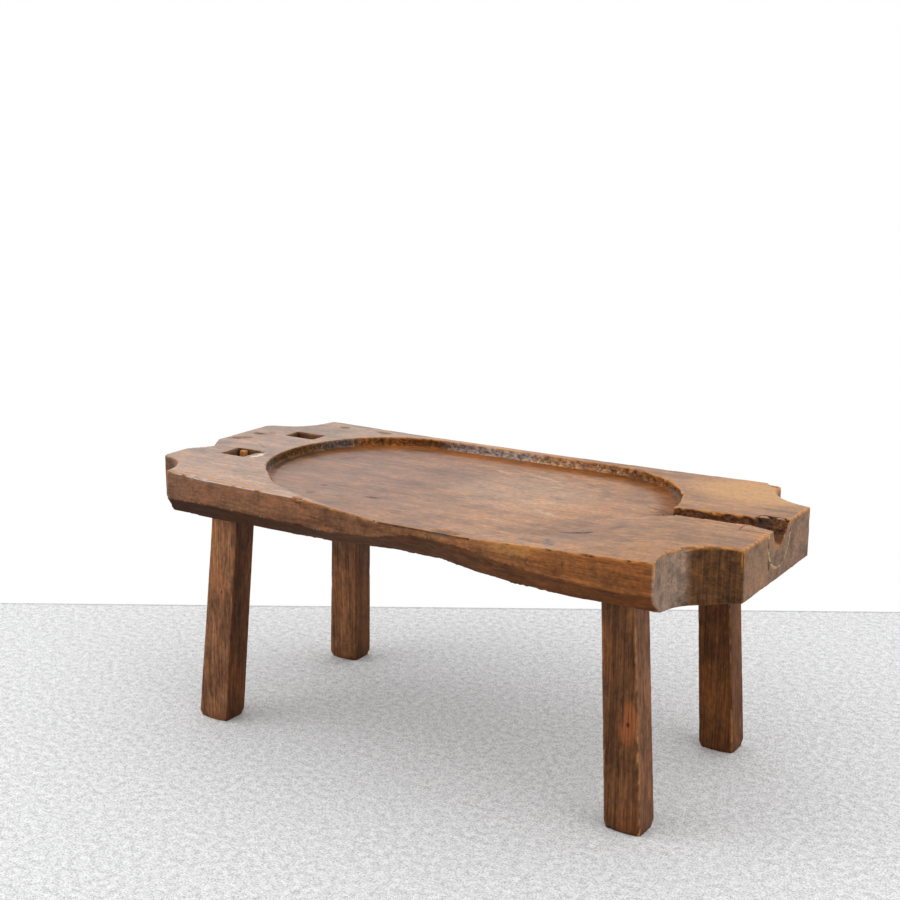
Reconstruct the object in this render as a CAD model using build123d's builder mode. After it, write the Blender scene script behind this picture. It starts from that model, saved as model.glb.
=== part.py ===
from build123d import *
import os

os.makedirs("parts", exist_ok=True)

# A low table made from one thick slab on four splayed legs. Sizes are in millimetres.
# The origin is on the floor under the middle of the slab. +X runs to the spout end,
# -Y is the near long side, +Z is up.

# ---- Slab -------------------------------------------------------------------------
table_height = 440
slab_length = 1072
slab_width = 484
left_thickness = 74        # the slab is hewn thicker towards the spout end
right_thickness = 88
end_bevel_rise = 9         # bevel under the spout end
end_bevel_run = 50

slab_top = table_height
left_end = -slab_length / 2
right_end = slab_length / 2
near_edge = -slab_width / 2
far_edge = slab_width / 2
past = 10                  # how far a cutting shape runs past the face that it cuts
arris_radius = 2.5         # worn edge of the top
tongue_corner_radius = 20  # upright corners of the left end, worn round

# Scooped corners: each is an upright round cut of its own radius. Its centre stands
# out past the end of the slab, or short of it where that is less than 0, and in from
# the widest point of the long edge.
near_right_scoop = 79.5
near_right_scoop_out = -10
near_right_scoop_in = 33
far_right_scoop = 97
far_right_scoop_out = 13
far_right_scoop_in = 7
near_left_scoop = 75
near_left_scoop_out = -6
near_left_scoop_in = 16
far_left_scoop = 86
far_left_scoop_out = 0
far_left_scoop_in = 7

# Hewn long sides. Each station is (X, how far the upright face lies in from the widest
# point, height of that face, how far the wane below it runs in to the underside).
near_side = [
    (left_end - past, 32, 56, 5),
    (-368, 6, 45, 31),
    (-214, 0, 45, 43),
    (-107, 0, 49, 50),
    (-20, 0, 43, 68),
    (60, 0, 28, 70),
    (141, 0, 33, 46),
    (209, 0, 45, 33),
    (311, 0, 54, 27),
    (400, 0, 56, 36),
    (right_end + past, 0, 46, 42),
]
far_side = [
    (left_end - past, 4, 45, 34),
    (-400, 7, 44, 36),
    (-230, 14, 40, 46),
    (60, 13, 46, 38),
    (260, 7, 42, 50),
    (410, 0, 48, 36),
    (right_end + past, 0, 48, 34),
]

# Hollow rotted into the left end
hollow_near_y = -85
hollow_deep_y = -45
hollow_far_y = 2
hollow_inset = 30
hollow_depth = 32
hollow_round = 9

# ---- Tray -------------------------------------------------------------------------
tray_depth = 16
tray_radius = 198
tray_left_from_end = 362    # centre of the tray's round left end
tray_right_from_end = 375
tray_centre_y = 12
tray_cove = 5              # round at the foot of the tray wall

tray_floor = slab_top - tray_depth
tray_left_centre = left_end + tray_left_from_end
tray_right_centre = right_end - tray_right_from_end
tray_right = tray_right_centre + tray_radius

channel_near_y = -15       # near lip of the spout channel where it leaves the tray

# Run-out: on the near side the tray has no rim, and its floor runs out over the near
# edge. It climbs back to the top at both ends. Each station is (Y, left slope's top, left
# slope's foot, right slope's foot, its knee, its top), and all but Y are places in X.
knee_depth = 6
run_out_stations = [
    (near_edge, -175, -5, 150, 400, 490),
    (near_edge + 64, -266, -240, 240, 375, 436),
    (near_edge + 92, -293, -275, 255, 370, 427),
    (near_edge + 112, -306, -290, 262, 367, 424),
    (channel_near_y, -306, -290, 300, 350, 388),
]

# ---- Spout ------------------------------------------------------------------------
channel_waist_from_end = 46

# Each station of the channel is (X, near lip, near foot, far foot, far lip, depth).
channel_stations = [
    (tray_right - past, channel_near_y, channel_near_y, 20, 22, tray_depth),
    (right_end - channel_waist_from_end, -7, -5, 31, 37, 21),
    (right_end, -20, -8, 16, 50, 31),
]

insert_width = 88
insert_centre_y = 8
insert_height = 61
insert_length = 45
glue_gap = 0.3

# ---- Old mortises -----------------------------------------------------------------
near_mortise_from_end = 103.5
near_mortise_y = -56
near_mortise_length = 51
near_mortise_width = 47
far_mortise_from_end = 117
far_mortise_y = 109.5
far_mortise_length = 62
far_mortise_width = 36

near_mortise_x = left_end + near_mortise_from_end
far_mortise_x = left_end + far_mortise_from_end

# Stub of an old post that still plugs the near mortise, broken off below the top. A
# splinter at its far side stands nearly to the top.
stub_sunk = 28
stub_fit = 0.2
splinter_length = 12
splinter_width = 9
splinter_sunk = 2
splinter_from_end = 9
splinter_round = 3

# ---- Legs -------------------------------------------------------------------------
leg_size = (55.5, 47.8)    # along X and Y, where the leg meets the slab
foot_size = (60, 51)       # the legs thicken towards the floor
leg_round = 3
foot_chamfer = 2

tenon_size = (36, 30)
tenon_length = 44
tenon_fit = 0.3
tenon_end_room = 0.5

wedge_length = 26
wedge_thick_end = 6
wedge_thin_end = 2

# Centre of each leg's foot and of its seat under the slab, as distances in from the end
# and from the long edge of the slab that are nearest to it
leg_insets = {
    "front_left": ((148.5, 59.8), (176.2, 76.8)),
    "rear_left": ((168.7, 74.1), (178.2, 74.4)),
    "front_right": ((143.5, 71.2), (161.6, 73.8)),
    "rear_right": ((138.3, 74.8), (158.2, 74.6)),
}


def leg_place(leg, from_end, from_edge):
    """A point near a leg, from its distances in from the slab's end and long edge."""
    side, hand = leg.split("_")
    x = left_end + from_end if hand == "left" else right_end - from_end
    y = near_edge + from_edge if side == "front" else far_edge - from_edge
    return x, y


legs = {leg: [leg_place(leg, *inset) for inset in insets] for leg, insets in leg_insets.items()}


def underside(x):
    """Height of the underside of the slab at X."""
    share = (x - left_end) / slab_length
    return slab_top - left_thickness - share * (right_thickness - left_thickness)


def leg_centre(leg, height):
    """Centre of a leg's section at a height. The legs splay evenly along their whole length."""
    foot, seat = legs[leg]
    share = height / underside(seat[0])
    return tuple(foot[i] + share * (seat[i] - foot[i]) for i in range(2))


def leg_prism(leg, low, high, high_size, low_size=None):
    """Level sections at the two ends of a leg, its tenon, its mortise or its wedge."""
    faces = []
    for height, size in ((low, low_size or high_size), (high, high_size)):
        with BuildSketch(Plane.XY.offset(height)) as section:
            with Locations(leg_centre(leg, height)):
                Rectangle(*size)
        faces.append(section.sketch.face())
    return faces


def side_section(edge, x, inset, face_height, run_in):
    """What is hewn off a long side at one station: the waste outside the upright face and
    the wane below it."""
    inward = 1 if edge < 0 else -1
    face = edge + inward * inset
    waste = edge - inward * 2 * past
    arris = Vector(face, slab_top - face_height)
    foot = Vector(face + inward * run_in, underside(x))
    lower = foot + (foot - arris).normalized() * past
    with BuildSketch(Plane.YZ.offset(x)) as section:
        with BuildLine():
            Polyline(
                (face, slab_top + past),
                (arris.X, arris.Y),
                (lower.X, lower.Y),
                (waste, lower.Y),
                (waste, slab_top + past),
                close=True,
            )
        make_face()
    return section.sketch.face()


def run_out_section(y, left_top, left_foot, right_foot, right_knee, right_top):
    """The run-out's profile in the upright plane at Y."""
    left_rise = (left_top - left_foot) / tray_depth
    right_rise = (right_top - right_knee) / knee_depth
    with BuildSketch(Plane.XZ.offset(-y)) as section:
        with BuildLine():
            Polyline(
                (left_foot, tray_floor),
                (left_top + left_rise * past, slab_top + past),
                (right_top + right_rise * past, slab_top + past),
                (right_knee, slab_top - knee_depth),
                (right_foot, tray_floor),
                close=True,
            )
        make_face()
    return section.sketch.face()


def channel_section(x, near_lip, near_foot, far_foot, far_lip, depth):
    """The channel's section at one station, carried on above the top."""
    near_rise = (near_lip - near_foot) / depth
    far_rise = (far_lip - far_foot) / depth
    with BuildSketch(Plane.YZ.offset(x)) as section:
        with BuildLine():
            Polyline(
                (near_lip + near_rise * past, slab_top + past),
                (near_foot, slab_top - depth),
                (far_foot, slab_top - depth),
                (far_lip + far_rise * past, slab_top + past),
                close=True,
            )
        make_face()
    return section.sketch.face()


def insert_outline(gap):
    """Draw the U of the spout insert, grown by a gap."""
    half = insert_width / 2
    with Locations((insert_centre_y, slab_top - insert_height + half)):
        Circle(half + gap)
    with Locations((insert_centre_y, slab_top)):
        Rectangle(insert_width + 2 * gap, 2 * (insert_height - half))


# ---- Cutting shapes ---------------------------------------------------------------
with BuildPart() as tray_cut:
    with BuildSketch(Plane.XY.offset(tray_floor)):
        with Locations(((tray_left_centre + tray_right_centre) / 2, tray_centre_y)):
            SlotCenterToCenter(tray_right_centre - tray_left_centre, 2 * tray_radius)
    extrude(amount=tray_depth + past)
    fillet(tray_cut.faces().sort_by(Axis.Z)[0].edges(), radius=tray_cove)
    with BuildSketch(Plane.XY.offset(tray_floor)):
        with Locations((tray_right_centre, channel_near_y)):
            Rectangle(slab_length, slab_width, align=(Align.MIN, Align.MAX))
    extrude(amount=tray_depth + past, mode=Mode.SUBTRACT)

with BuildPart() as run_out_cut:
    loft([run_out_section(*station) for station in run_out_stations], ruled=True)
    extrude(run_out_section(*run_out_stations[0]), amount=past, dir=(0, -1, 0))

with BuildPart() as channel_cut:
    loft([channel_section(*station) for station in channel_stations], ruled=True)
    extrude(channel_section(*channel_stations[-1]), amount=past, dir=(1, 0, 0))

# ---- Slab -------------------------------------------------------------------------
scoops = [
    (1, -1, near_right_scoop, near_right_scoop_out, near_right_scoop_in),
    (1, 1, far_right_scoop, far_right_scoop_out, far_right_scoop_in),
    (-1, -1, near_left_scoop, near_left_scoop_out, near_left_scoop_in),
    (-1, 1, far_left_scoop, far_left_scoop_out, far_left_scoop_in),
]

with BuildPart() as slab:
    with BuildSketch(Plane.XZ):
        with BuildLine():
            Polyline(
                (left_end, slab_top),
                (right_end, slab_top),
                (right_end, underside(right_end) + end_bevel_rise),
                (right_end - end_bevel_run, underside(right_end - end_bevel_run)),
                (left_end, underside(left_end)),
                close=True,
            )
        make_face()
    extrude(amount=slab_width / 2 + past, both=True)

    for edge, stations in ((near_edge, near_side), (far_edge, far_side)):
        loft([side_section(edge, *station) for station in stations], ruled=True, mode=Mode.SUBTRACT)

    with BuildSketch():
        for x_side, y_side, radius, out, inward in scoops:
            x = x_side * (slab_length / 2 + out)
            y = y_side * (slab_width / 2 - inward)
            with Locations((x, y)):
                Circle(radius)
    extrude(amount=slab_top + past, mode=Mode.SUBTRACT)

    left_corners = slab.faces().sort_by(Axis.X)[0].edges().filter_by(Axis.Z)
    fillet(left_corners, radius=tongue_corner_radius)
    fillet(slab.faces().sort_by(Axis.Z)[-1].edges(), radius=arris_radius)

    with BuildSketch(Plane.XY.offset(slab_top - hollow_depth)):
        with BuildLine():
            FilletPolyline(
                (left_end - hollow_inset, hollow_near_y),
                (left_end, hollow_near_y),
                (left_end + hollow_inset, hollow_deep_y),
                (left_end, hollow_far_y),
                (left_end - hollow_inset, hollow_far_y),
                radius=hollow_round,
                close=True,
            )
        make_face()
    extrude(amount=hollow_depth + past, mode=Mode.SUBTRACT)

    add(tray_cut.part, mode=Mode.SUBTRACT)
    add(run_out_cut.part, mode=Mode.SUBTRACT)

    with BuildSketch(Plane.YZ.offset(right_end)):
        insert_outline(glue_gap)
    extrude(amount=-insert_length - glue_gap, mode=Mode.SUBTRACT)
    add(channel_cut.part, mode=Mode.SUBTRACT)

    with BuildSketch():
        with Locations((near_mortise_x, near_mortise_y)):
            Rectangle(near_mortise_length, near_mortise_width)
        with Locations((far_mortise_x, far_mortise_y)):
            Rectangle(far_mortise_length, far_mortise_width)
    extrude(amount=slab_top, mode=Mode.SUBTRACT)

    for leg in legs:
        seat = underside(legs[leg][1][0])
        mortise_end = seat + tenon_length + tenon_end_room
        mortise_size = tuple(side + 2 * tenon_fit for side in tenon_size)
        mortise = leg_prism(leg, seat - past, mortise_end, mortise_size)
        loft(mortise, ruled=True, mode=Mode.SUBTRACT)

slab.part.label = "slab"
export_step(slab.part, "parts/slab.step")

# ---- Spout insert -----------------------------------------------------------------
with BuildPart() as spout_insert:
    with BuildSketch(Plane.YZ.offset(right_end)):
        insert_outline(0)
        with Locations((insert_centre_y, slab_top)):
            Rectangle(slab_width, slab_width, align=(Align.CENTER, Align.MIN), mode=Mode.SUBTRACT)
    extrude(amount=-insert_length)
    add(channel_cut.part, mode=Mode.SUBTRACT)
    add(run_out_cut.part, mode=Mode.SUBTRACT)

spout_insert.part.label = "spout_insert"
export_step(spout_insert.part, "parts/spout_insert.step")

# ---- Stub of an old post in the near mortise ---------------------------------------
stub_foot = underside(near_mortise_x - near_mortise_length / 2)
stub_length = near_mortise_length - 2 * stub_fit
stub_width = near_mortise_width - 2 * stub_fit
splinter_x = near_mortise_x - stub_length / 2 + splinter_from_end
splinter_y = near_mortise_y + stub_width / 2

with BuildPart() as mortise_stub:
    with BuildSketch(Plane.XY.offset(stub_foot)):
        with Locations((near_mortise_x, near_mortise_y)):
            Rectangle(stub_length, stub_width)
    extrude(amount=slab_top - stub_sunk - stub_foot)
    with BuildSketch(Plane.XY.offset(slab_top - stub_sunk)):
        with Locations((splinter_x, splinter_y)):
            Rectangle(splinter_length, splinter_width, align=(Align.MIN, Align.MAX))
    extrude(amount=stub_sunk - splinter_sunk)
    fillet(mortise_stub.faces().sort_by(Axis.Z)[-1].edges(), radius=splinter_round)

mortise_stub.part.label = "mortise_stub"
export_step(mortise_stub.part, "parts/mortise_stub.step")

# ---- Legs and the wedges that spread their tenons ----------------------------------
underside_plane = Plane(
    origin=(0, 0, underside(0)),
    x_dir=(slab_length, 0, left_thickness - right_thickness),
    z_dir=(right_thickness - left_thickness, 0, slab_length),
)

for leg in legs:
    seat = underside(legs[leg][1][0])
    tenon_top = seat + tenon_length
    wedge_foot = tenon_top - wedge_length
    wedge_depth = tenon_size[1]
    kerf = leg_prism(
        leg, wedge_foot, tenon_top, (wedge_thick_end, wedge_depth), (wedge_thin_end, wedge_depth)
    )

    with BuildPart() as body:
        loft(leg_prism(leg, 0, seat + past, leg_size, foot_size), ruled=True)
        split(bisect_by=underside_plane, keep=Keep.BOTTOM)
        corners = body.edges().filter_by(lambda edge: edge.length > seat / 2)
        fillet(corners, radius=leg_round)
        chamfer(body.faces().sort_by(Axis.Z)[0].edges(), length=foot_chamfer)
        loft(leg_prism(leg, seat - past, tenon_top, tenon_size), ruled=True)
        loft(kerf, ruled=True, mode=Mode.SUBTRACT)

    body.part.label = leg + "_leg"
    export_step(body.part, "parts/" + leg + "_leg.step")

    with BuildPart() as wedge:
        loft(kerf, ruled=True)

    wedge.part.label = leg + "_tenon_wedge"
    export_step(wedge.part, "parts/" + leg + "_tenon_wedge.step")
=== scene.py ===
import bpy
import bmesh
import math
import numpy as np
from mathutils import Matrix, Vector, noise
from mathutils.bvhtree import BVHTree
from mathutils.kdtree import KDTree


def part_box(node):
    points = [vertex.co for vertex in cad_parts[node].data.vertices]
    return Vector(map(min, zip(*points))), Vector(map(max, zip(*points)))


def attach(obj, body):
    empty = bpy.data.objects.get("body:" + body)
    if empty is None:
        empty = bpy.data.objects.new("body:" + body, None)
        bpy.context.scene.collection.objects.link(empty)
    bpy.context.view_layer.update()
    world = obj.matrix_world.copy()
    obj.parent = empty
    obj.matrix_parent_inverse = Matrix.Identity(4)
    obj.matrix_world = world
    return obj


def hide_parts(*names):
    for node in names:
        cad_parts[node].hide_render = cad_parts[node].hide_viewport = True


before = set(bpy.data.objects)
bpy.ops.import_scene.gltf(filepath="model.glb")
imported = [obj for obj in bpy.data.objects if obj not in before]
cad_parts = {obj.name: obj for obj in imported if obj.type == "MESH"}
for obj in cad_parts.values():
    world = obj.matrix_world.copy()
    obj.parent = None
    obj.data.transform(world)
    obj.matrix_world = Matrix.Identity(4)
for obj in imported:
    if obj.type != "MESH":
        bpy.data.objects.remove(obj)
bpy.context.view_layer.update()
print("frame loaded")

# Low slab table: hewn slab with a tray and a spout, four splayed legs. Everything is in
# metres, +X to the spout end, -Y the near long side, Z up from the floor.

# camera and room
cameraSet = {
    "place": (1.2516, -2.0048, 1.0511),
    "azimuth": 32.61,
    "pitchDown": 13.408,
    "lens": 59.41,
    "sensor": 36,
}


def placeCamera():
    data = bpy.data.cameras.new("tableCamera")
    data.lens = cameraSet["lens"]
    data.sensor_width = cameraSet["sensor"]
    camera = bpy.data.objects.new("tableCamera", data)
    camera.location = cameraSet["place"]
    tilt = math.radians(90 - cameraSet["pitchDown"])
    camera.rotation_euler = (tilt, 0, math.radians(cameraSet["azimuth"]))
    bpy.context.collection.objects.link(camera)
    bpy.context.scene.camera = camera
    bpy.context.scene.view_settings.view_transform = "Standard"


placeCamera()
print("camera placed")


# shader helpers
spotCore = 0.4         # the share of a spot's radius that is full
coatRoughness = 0.34


class Wire:
    # a socket that can be used in sums, each of which adds a Math node
    def __init__(self, bench, socket):
        self.bench = bench
        self.socket = socket

    def __add__(self, other):
        return self.bench.sum("ADD", self, other)

    def __radd__(self, other):
        return self.bench.sum("ADD", other, self)

    def __sub__(self, other):
        return self.bench.sum("SUBTRACT", self, other)

    def __rsub__(self, other):
        return self.bench.sum("SUBTRACT", other, self)

    def __mul__(self, other):
        return self.bench.sum("MULTIPLY", self, other)

    def __rmul__(self, other):
        return self.bench.sum("MULTIPLY", other, self)


class Bench:
    # the node tree of one material, or of the air
    def __init__(self, owner):
        owner.use_nodes = True
        self.owner = owner
        self.tree = owner.node_tree
        self.tree.nodes.clear()

    def node(self, kind, settings=None, values=None, take=0):
        made = self.tree.nodes.new(kind)
        for name, value in (settings or {}).items():
            if name == "stops":
                setStops(made.color_ramp, value)
            else:
                setattr(made, name, value)
        for key, value in (values or {}).items():
            if isinstance(value, Wire):
                self.tree.links.new(value.socket, made.inputs[key])
            else:
                made.inputs[key].default_value = value
        return Wire(self, made.outputs[take]) if made.outputs else None

    def sum(self, operation, first, second=0.0):
        return self.node("ShaderNodeMath", {"operation": operation}, {0: first, 1: second})

    def vector(self, operation, first, second=(0, 0, 0), take=0):
        settings = {"operation": operation}
        return self.node("ShaderNodeVectorMath", settings, {0: first, 1: second}, take)

    def mix(self, factor, first, second, blend="MIX"):
        settings = {"data_type": "RGBA", "blend_type": blend}
        return self.node("ShaderNodeMix", settings, {0: factor, 6: first, 7: second}, take=2)

    def tint(self, colour, tone, share=1.0):
        return self.mix(share, colour, tone, "MULTIPLY")

    def ramp(self, value, stops):
        return self.node("ShaderNodeValToRGB", {"stops": stops}, {"Fac": value})

    def slope(self, value, low, high, start=0.0, end=1.0, kind="LINEAR"):
        values = {"Value": value, "From Min": low, "From Max": high, "To Min": start, "To Max": end}
        return self.node("ShaderNodeMapRange", {"interpolation_type": kind}, values)

    def step(self, value, low, high):
        return self.slope(value, low, high, kind="SMOOTHSTEP")

    def cloud(self, where, scale, offset=(0, 0, 0), detail=3.0, rough=0.55, twist=0.0, take=0):
        place = self.node("ShaderNodeMapping", None,
                          {"Vector": where, "Location": offset, "Scale": scale})
        values = {"Vector": place, "Scale": 1.0, "Detail": detail,
                  "Roughness": rough, "Distortion": twist}
        return self.node("ShaderNodeTexNoise", None, values, take)

    def field(self, name):
        return self.node("ShaderNodeAttribute", {"attribute_name": name}, take="Fac")

    def wander(self, where, scale, reach):
        # places moved about by noise, so that what is drawn there gets a ragged rim
        shift = self.cloud(where, (scale, scale, scale), (9, 9, 9), detail=3.0, rough=0.7, take=1)
        shift = self.vector("MULTIPLY", self.vector("SUBTRACT", shift, (0.5, 0.5, 0.5)), reach)
        return self.vector("ADD", where, shift)

    def spot(self, where, centre, size, turn=0.0):
        # 1 in the core of a turned ball-like shape, falling to 0 at its edge
        place = self.node("ShaderNodeMapping", {"vector_type": "TEXTURE"},
                          {"Vector": where, "Location": centre,
                           "Rotation": (0, 0, math.radians(turn)),
                           "Scale": tuple(part / 2 for part in size)})
        return 1 - self.step(self.vector("LENGTH", place, take="Value"), spotCore, 1.0)

    def finish(self, colour, roughness, height, bump, gloss, coat=0.0):
        pushed = self.node("ShaderNodeBump", None,
                           {"Strength": 1.0, "Distance": bump, "Height": height})
        shader = self.node("ShaderNodeBsdfPrincipled", None,
                           {"Base Color": colour, "Roughness": roughness, "Normal": pushed,
                            "Specular IOR Level": gloss, "Coat Weight": coat,
                            "Coat Roughness": coatRoughness})
        self.node("ShaderNodeOutputMaterial", None, {"Surface": shader})
        return self.owner


def newMaterial(name):
    # the bench of an empty material, and the places that its textures are laid on
    bench = Bench(bpy.data.materials.new(name))
    return bench, bench.node("ShaderNodeTexCoord", take="Object")


def setStops(ramp, stops):
    while len(ramp.elements) < len(stops):
        ramp.elements.new(1.0)
    for element, (place, colour) in zip(ramp.elements, stops):
        element.position = place
        element.color = (*colour, 1.0)


def rgb(red, green, blue):
    return (red, green, blue, 1.0)


# floor, light and air
floorSheet = {
    "far": 2.975,        # from the camera, level, to the sheet's far edge
    "turn": -1.7,
    "width": 7.0,
    "depth": 5.5,
    "tone": (0.755, 0.757, 0.765),
    "dark": 0.64,            # the darkest and the lightest specks, as shares of the tone
    "light": 1.28,
    "speckScale": 330,
    "patchScale": 90,
    "speckShare": 0.68,
    # the seam is a painted shade line along the far edge, where the floor would meet the wall
    "seam": (0.014, 0.72),   # how wide and how bright the line along the far edge is
}
studioLights = {
    "keyWindow": {"place": (-2.3, -1.7, 2.3), "size": 2.2, "watts": 25},
    "rightFill": {"place": (2.6, -0.3, 1.6), "size": 2.0, "watts": 13},
}
lightAim = (0, 0, 0.3)
# how bright the air looks, and how bright it shines from in front and from behind
airGlow = {"seen": 1.0, "front": 0.80, "back": 1.08, "rise": 0.55, "from": -0.5, "to": 0.6}


def cameraAhead():
    azimuth = math.radians(cameraSet["azimuth"])
    return Vector((-math.sin(azimuth), math.cos(azimuth), 0))


def layFloor():
    place = Vector(cameraSet["place"]) + cameraAhead() * floorSheet["far"]
    place.z = 0
    turn = math.radians(cameraSet["azimuth"] + floorSheet["turn"])
    half = 0.5
    bm = bmesh.new()
    bmesh.ops.create_grid(bm, x_segments=1, y_segments=1, size=half)
    bmesh.ops.translate(bm, verts=bm.verts, vec=(0, -half, 0))
    bmesh.ops.scale(bm, verts=bm.verts, vec=(floorSheet["width"], floorSheet["depth"], 1))
    bmesh.ops.rotate(bm, verts=bm.verts, cent=(0, 0, 0), matrix=Matrix.Rotation(turn, 3, "Z"))
    bmesh.ops.translate(bm, verts=bm.verts, vec=place)
    mesh = bpy.data.meshes.new("floorSheet")
    bm.to_mesh(mesh)
    bm.free()
    sheet = bpy.data.objects.new("floorSheet", mesh)
    bpy.context.collection.objects.link(sheet)
    bench, where = newMaterial("paleCarpet")
    speck = bench.cloud(where, (floorSheet["speckScale"],) * 3, detail=2.0, rough=0.7)
    patch = bench.cloud(where, (floorSheet["patchScale"],) * 3, (3, 1, 0), detail=2.0)
    level = speck * floorSheet["speckShare"] + patch * (1 - floorSheet["speckShare"])
    tone = floorSheet["tone"]
    dark = tuple(part * floorSheet["dark"] for part in tone)
    light = tuple(min(1.0, part * floorSheet["light"]) for part in tone)
    colour = bench.ramp(level, [(0.38, dark), (0.5, tone), (0.62, light)])
    cornerShadeWidth, cornerShadeTone = floorSheet["seam"]
    outward = Vector((-math.sin(turn), math.cos(turn), 0))
    reach = bench.vector("DOT_PRODUCT", where, outward, take="Value")
    # painted shade: a darker strip along the floor's far edge, standing in for the shade where floor
    # meets wall
    seam = bench.step(reach, outward.dot(place) - cornerShadeWidth, outward.dot(place))
    colour = bench.tint(colour, rgb(cornerShadeTone, cornerShadeTone, cornerShadeTone), seam)
    mesh.materials.append(bench.finish(colour, 0.95, level, 0.002, gloss=0.1))


def hangLights():
    for name, light in studioLights.items():
        data = bpy.data.lights.new(name, "AREA")
        data.size = light["size"]
        data.energy = light["watts"]
        lamp = bpy.data.objects.new(name, data)
        lamp.location = light["place"]
        aim = Vector(lightAim) - Vector(light["place"])
        lamp.rotation_euler = aim.to_track_quat("-Z", "Y").to_euler()
        lamp.visible_camera = False
        bpy.context.collection.objects.link(lamp)


def fillAir():
    # white all round, dimmer as a light from the side where the camera stands
    world = bpy.data.worlds.new("studioAir")
    bench = Bench(world)
    where = bench.node("ShaderNodeTexCoord", take="Generated")
    towards = cameraAhead() + Vector((0, 0, airGlow["rise"]))
    facing = bench.vector("DOT_PRODUCT", where, towards.normalized(), take="Value")
    strength = bench.slope(facing, airGlow["from"], airGlow["to"], airGlow["front"], airGlow["back"])
    lit = bench.node("ShaderNodeBackground", None, {"Color": rgb(1, 1, 1), "Strength": strength})
    seen = bench.node("ShaderNodeBackground", None,
                      {"Color": rgb(1, 1, 1), "Strength": airGlow["seen"]})
    isSeen = bench.node("ShaderNodeLightPath", take="Is Camera Ray")
    both = bench.node("ShaderNodeMixShader", None, {0: isSeen, 1: lit, 2: seen})
    bench.node("ShaderNodeOutputWorld", None, {"Surface": both})
    bpy.context.scene.world = world


layFloor()
hangLights()
fillAir()
print("floor, lights and air set")


# mesh helpers
weldGap = 1e-6
sharpEdges = {"angle": math.radians(32), "gap": 0.0005, "pull": 0.62}
noiseShape = {"spread": (1, 0.7, 1.3), "swing": 0.62, "dish": 0.75}


def edgePoints(bm):
    # points along the sharp edges of a shape, for vertices to be drawn to
    points = []
    for edge in bm.edges:
        if len(edge.link_faces) == 2 and edge.calc_face_angle(0.0) > sharpEdges["angle"]:
            first, last = (vertex.co.copy() for vertex in edge.verts)
            count = max(1, math.ceil((last - first).length / sharpEdges["gap"]))
            points += [first.lerp(last, step / count) for step in range(count + 1)]
    tree = KDTree(len(points))
    for index, point in enumerate(points):
        tree.insert(point, index)
    tree.balance()
    return tree


def copyNode(node, name, voxel):
    # a CAD node's shape as one closed net of small even faces, on a new piece
    bm = bmesh.new()
    bm.from_mesh(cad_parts[node].data)
    bmesh.ops.remove_doubles(bm, verts=bm.verts, dist=weldGap)
    surface = BVHTree.FromBMesh(bm)
    edges = edgePoints(bm)
    mesh = bpy.data.meshes.new(name)
    bm.to_mesh(mesh)
    bm.free()
    piece = bpy.data.objects.new(name, mesh)
    bpy.context.collection.objects.link(piece)
    evenMesh(piece, surface, edges, voxel)
    return piece


def settle(piece):
    # makes the piece's modifiers part of its mesh
    depsgraph = bpy.context.evaluated_depsgraph_get()
    mesh = bpy.data.meshes.new_from_object(piece.evaluated_get(depsgraph))
    piece.modifiers.clear()
    old = piece.data
    piece.data = mesh
    bpy.data.meshes.remove(old)
    mesh.name = piece.name


def evenMesh(piece, surface, edges, voxel):
    # remeshed, then laid back on the CAD surface and on its sharp edges
    remesh = piece.modifiers.new("evenNet", "REMESH")
    remesh.mode = "VOXEL"
    remesh.voxel_size = voxel
    settle(piece)
    for vertex in piece.data.vertices:
        place = surface.find_nearest(vertex.co)[0]
        if place is not None:
            onEdge, _, away = edges.find(place)
            vertex.co = onEdge if away < voxel * sharpEdges["pull"] else place
    piece.data.update()


def thinMesh(piece, triangles, plain):
    # fewer faces, taken only from the plain parts of the surface
    count = sum(len(face.vertices) - 2 for face in piece.data.polygons)
    if count > triangles:
        group = piece.vertex_groups.new(name="plain")
        group.add(np.flatnonzero(plain).tolist(), 1.0, "REPLACE")
        thin = piece.modifiers.new("fewerFaces", "DECIMATE")
        thin.vertex_group = group.name
        thin.ratio = triangles / count
        settle(piece)
        piece.vertex_groups.clear()


def readVectors(source, name):
    flat = np.empty(len(source) * 3, dtype=np.float32)
    source.foreach_get(name, flat)
    return flat.reshape(-1, 3).astype(float)


def writePlaces(mesh, places, node):
    # moved vertices, kept inside the CAD node's box
    lowest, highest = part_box(node)
    inside = np.clip(places, lowest, highest)
    mesh.vertices.foreach_set("co", inside.ravel())
    mesh.update()


def writeField(mesh, name, values):
    field = mesh.attributes.new(name, "FLOAT", "POINT")
    field.data.foreach_set("value", np.ascontiguousarray(values, dtype=np.float32))


def average(mesh, values, rounds):
    # each vertex moves towards the mean of its neighbours, round after round
    ends = np.empty(len(mesh.edges) * 2, dtype=np.int32)
    mesh.edges.foreach_get("vertices", ends)
    ends = ends.reshape(-1, 2)
    total = len(mesh.vertices)
    count = np.bincount(ends[:, 0], minlength=total) + np.bincount(ends[:, 1], minlength=total)
    count = np.maximum(count, 1)
    values = values.copy()
    for _ in range(rounds):
        for column in range(values.shape[1]):
            part = values[:, column]
            near = np.bincount(ends[:, 0], weights=part[ends[:, 1]], minlength=total)
            near += np.bincount(ends[:, 1], weights=part[ends[:, 0]], minlength=total)
            values[:, column] = 0.5 * part + 0.5 * near / count
    return values


def bend(mesh, places, normals, rounds, reach):
    # how sharply the surface turns: above 0 on an edge, below 0 in a corner
    middle = average(mesh, places, rounds)
    turn = np.sum((places - middle) * normals, axis=1) / reach
    return average(mesh, turn[:, None], 1)[:, 0]


def survey(mesh, rounds, reach):
    # where the vertices are, which way they face and how sharply the surface turns there
    places = readVectors(mesh.vertices, "co")
    normals = readVectors(mesh.vertex_normals, "vector")
    return places, normals, bend(mesh, places, normals, rounds, reach)


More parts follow.
